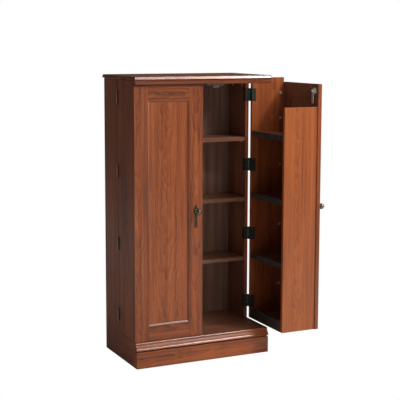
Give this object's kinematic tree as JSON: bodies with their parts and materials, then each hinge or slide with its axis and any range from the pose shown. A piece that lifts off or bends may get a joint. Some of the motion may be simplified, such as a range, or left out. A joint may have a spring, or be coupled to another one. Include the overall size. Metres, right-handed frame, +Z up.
{
  "type": "media cabinet",
  "caption": "Tall two-door wooden media cabinet with a shelved carcass, deep box doors that hold shelves of their own, framed door fronts, a moulded base and a cam lock.",
  "frame": {"origin": "on the floor, in the middle of the carcass from side to side and from the front edge of its top to its back", "axes": "+X to the right of someone facing the cabinet, +Y from its front to its back, +Z up; the left door is shut and the right door stands open a quarter turn"},
  "size_m": [0.7761, 0.4386, 1.105],
  "materials": {
    "back_panel": "matt printed woodgrain hardboard",
    "base_centre_support": "satin cherry-stained woodgrain",
    "base_moulding": "satin cherry-stained woodgrain",
    "base_rear_rail": "satin cherry-stained woodgrain",
    "base_return_left": "satin cherry-stained woodgrain",
    "base_return_right": "satin cherry-stained woodgrain",
    "bottom_panel": "satin cherry-stained woodgrain",
    "carcass_cams": "zinc plated",
    "carcass_leaves_left": "black enamelled steel",
    "carcass_leaves_right": "black enamelled steel",
    "carcass_screws": "blackened steel",
    "carcass_side_left": "satin cherry-stained woodgrain",
    "carcass_side_right": "satin cherry-stained woodgrain",
    "catch_batten": "satin cherry-stained woodgrain",
    "door_left_back_plate": "antiqued pewter, dark",
    "door_left_bottom": "satin cherry-stained woodgrain",
    "door_left_bottom_rail": "satin cherry-stained woodgrain",
    "door_left_cams": "zinc plated",
    "door_left_end_panel": "satin cherry-stained woodgrain",
    "door_left_free_stile": "satin cherry-stained woodgrain",
    "door_left_hinge_stile": "satin cherry-stained woodgrain",
    "door_left_knob": "antiqued pewter, polished",
    "door_left_leaves": "black enamelled steel",
    "door_left_lips": "satin black",
    "door_left_panel": "satin cherry-stained woodgrain",
    "door_left_screws": "blackened steel",
    "door_left_shelves": "satin cherry-stained woodgrain",
    "door_left_side_panel": "satin cherry-stained woodgrain",
    "door_left_strike": "zinc plated steel",
    "door_left_top_rail": "satin cherry-stained woodgrain",
    "door_right_back_plate": "antiqued pewter, dark",
    "door_right_bottom": "satin cherry-stained woodgrain",
    "door_right_bottom_rail": "satin cherry-stained woodgrain",
    "door_right_cams": "zinc plated",
    "door_right_end_panel": "satin cherry-stained woodgrain",
    "door_right_free_stile": "satin cherry-stained woodgrain",
    "door_right_hinge_stile": "satin cherry-stained woodgrain",
    "door_right_knob": "antiqued pewter, polished",
    "door_right_leaves": "black enamelled steel",
    "door_right_lips": "satin black",
    "door_right_panel": "satin cherry-stained woodgrain",
    "door_right_screws": "blackened steel",
    "door_right_shelves": "satin cherry-stained woodgrain",
    "door_right_side_panel": "satin cherry-stained woodgrain",
    "door_right_strike": "zinc plated steel",
    "door_right_top_rail": "satin cherry-stained woodgrain",
    "hinge_pins": "black enamelled steel",
    "lock_arm": "nickel plated",
    "lock_housing": "nickel plated",
    "lock_plug": "nickel plated",
    "lock_ring": "nickel plated",
    "magnetic_catch_left": "brown moulded plastic",
    "magnetic_catch_right": "brown moulded plastic",
    "plinth_front": "satin cherry-stained woodgrain",
    "shelf_lower": "satin cherry-stained woodgrain",
    "shelf_middle": "satin cherry-stained woodgrain",
    "shelf_pins": "zinc plated steel",
    "shelf_upper": "satin cherry-stained woodgrain",
    "top_front_rail": "satin cherry-stained woodgrain",
    "top_panel": "satin cherry-stained woodgrain"
  },
  "bodies": {
    "carcass": {"back_panel": "back_panel", "base_centre_support": "base_centre_support", "base_moulding": "base_moulding", "base_rear_rail": "base_rear_rail", "base_return_left": "base_return_left", "base_return_right": "base_return_right", "bottom_panel": "bottom_panel", "carcass_cams": "carcass_cams", "carcass_leaves_left": "carcass_leaves_left", "carcass_leaves_right": "carcass_leaves_right", "carcass_screws": "carcass_screws", "carcass_side_left": "carcass_side_left", "carcass_side_right": "carcass_side_right", "catch_batten": "catch_batten", "hinge_pins": "hinge_pins", "magnetic_catch_left": "magnetic_catch_left", "magnetic_catch_right": "magnetic_catch_right", "plinth_front": "plinth_front", "shelf_lower": "shelf_lower", "shelf_middle": "shelf_middle", "shelf_pins": "shelf_pins", "shelf_upper": "shelf_upper", "top_front_rail": "top_front_rail", "top_panel": "top_panel"},
    "left_door": {"door_left_back_plate": "door_left_back_plate", "door_left_bottom": "door_left_bottom", "door_left_bottom_rail": "door_left_bottom_rail", "door_left_cams": "door_left_cams", "door_left_end_panel": "door_left_end_panel", "door_left_free_stile": "door_left_free_stile", "door_left_hinge_stile": "door_left_hinge_stile", "door_left_knob": "door_left_knob", "door_left_leaves": "door_left_leaves", "door_left_lips": "door_left_lips", "door_left_panel": "door_left_panel", "door_left_screws": "door_left_screws", "door_left_shelves": "door_left_shelves", "door_left_side_panel": "door_left_side_panel", "door_left_strike": "door_left_strike", "door_left_top_rail": "door_left_top_rail"},
    "right_door": {"door_right_back_plate": "door_right_back_plate", "door_right_bottom": "door_right_bottom", "door_right_bottom_rail": "door_right_bottom_rail", "door_right_cams": "door_right_cams", "door_right_end_panel": "door_right_end_panel", "door_right_free_stile": "door_right_free_stile", "door_right_hinge_stile": "door_right_hinge_stile", "door_right_knob": "door_right_knob", "door_right_leaves": "door_right_leaves", "door_right_lips": "door_right_lips", "door_right_panel": "door_right_panel", "door_right_screws": "door_right_screws", "door_right_shelves": "door_right_shelves", "door_right_side_panel": "door_right_side_panel", "door_right_strike": "door_right_strike", "door_right_top_rail": "door_right_top_rail", "lock_housing": "lock_housing", "lock_ring": "lock_ring"},
    "lock_cam": {"lock_plug": "lock_plug", "lock_arm": "lock_arm"}
  },
  "joints": [
    {"name": "left_door_hinge", "type": "hinge", "parent": "carcass", "child": "left_door", "pos_m": [-0.2866, 0.0145, 0], "axis": [0, 0, 1], "range_deg": [-175, 0]},
    {"name": "right_door_hinge", "type": "hinge", "parent": "carcass", "child": "right_door", "pos_m": [0.2866, 0.0145, 0], "axis": [0, 0, 1], "range_deg": [-90, 85]},
    {"name": "lock_turn", "type": "hinge", "parent": "right_door", "child": "lock_cam", "pos_m": [0.4271, -0.2426, 1.045], "axis": [-1, 0, 0], "range_deg": [0, 90]}
  ]
}
